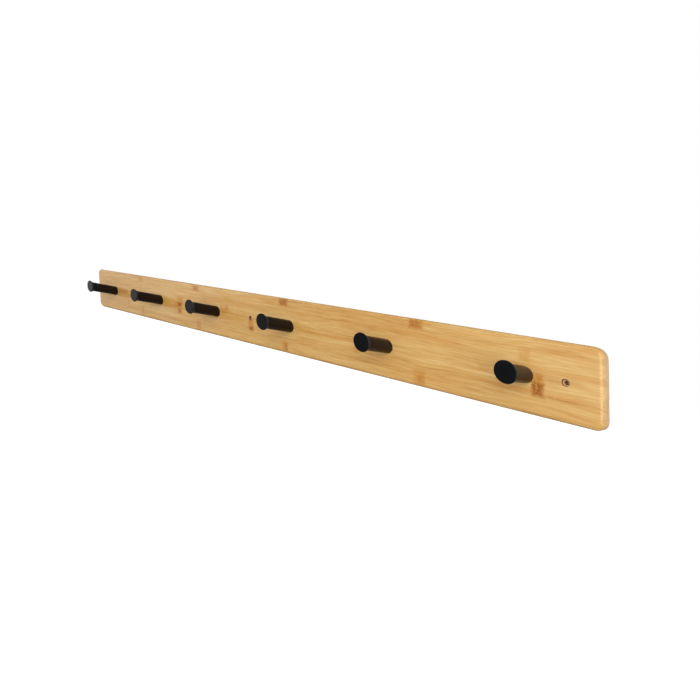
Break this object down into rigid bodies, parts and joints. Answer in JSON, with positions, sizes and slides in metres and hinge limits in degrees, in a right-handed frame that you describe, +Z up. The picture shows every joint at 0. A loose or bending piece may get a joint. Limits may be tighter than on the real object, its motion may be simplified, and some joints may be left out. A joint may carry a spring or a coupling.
{
  "type": "wall hook rack",
  "caption": "Long laminated bamboo wall board with rounded corners and a row of round black metal pegs for hanging clothes.",
  "frame": {"origin": "centre of the board's back face, on the axis of the middle wall screw hole", "axes": "+X along the board, to the right as seen from the room; +Y into the wall; +Z up. The wall is the plane Y = 0 and the pegs point into the room along -Y"},
  "size_m": [1, 0.073, 0.082],
  "materials": {
    "bamboo": "laminated bamboo with a clear satin lacquer",
    "black_paint": "satin black powder coat",
    "zinc_steel": "bright zinc plate"
  },
  "bodies": {
    "root": {"board": "bamboo", "peg_1": "black_paint", "peg_2": "black_paint", "peg_3": "black_paint", "peg_4": "black_paint", "peg_5": "black_paint", "peg_6": "black_paint", "peg_screw_1": "zinc_steel", "peg_screw_2": "zinc_steel", "peg_screw_3": "zinc_steel", "peg_screw_4": "zinc_steel", "peg_screw_5": "zinc_steel", "peg_screw_6": "zinc_steel"}
  },
  "joints": []
}
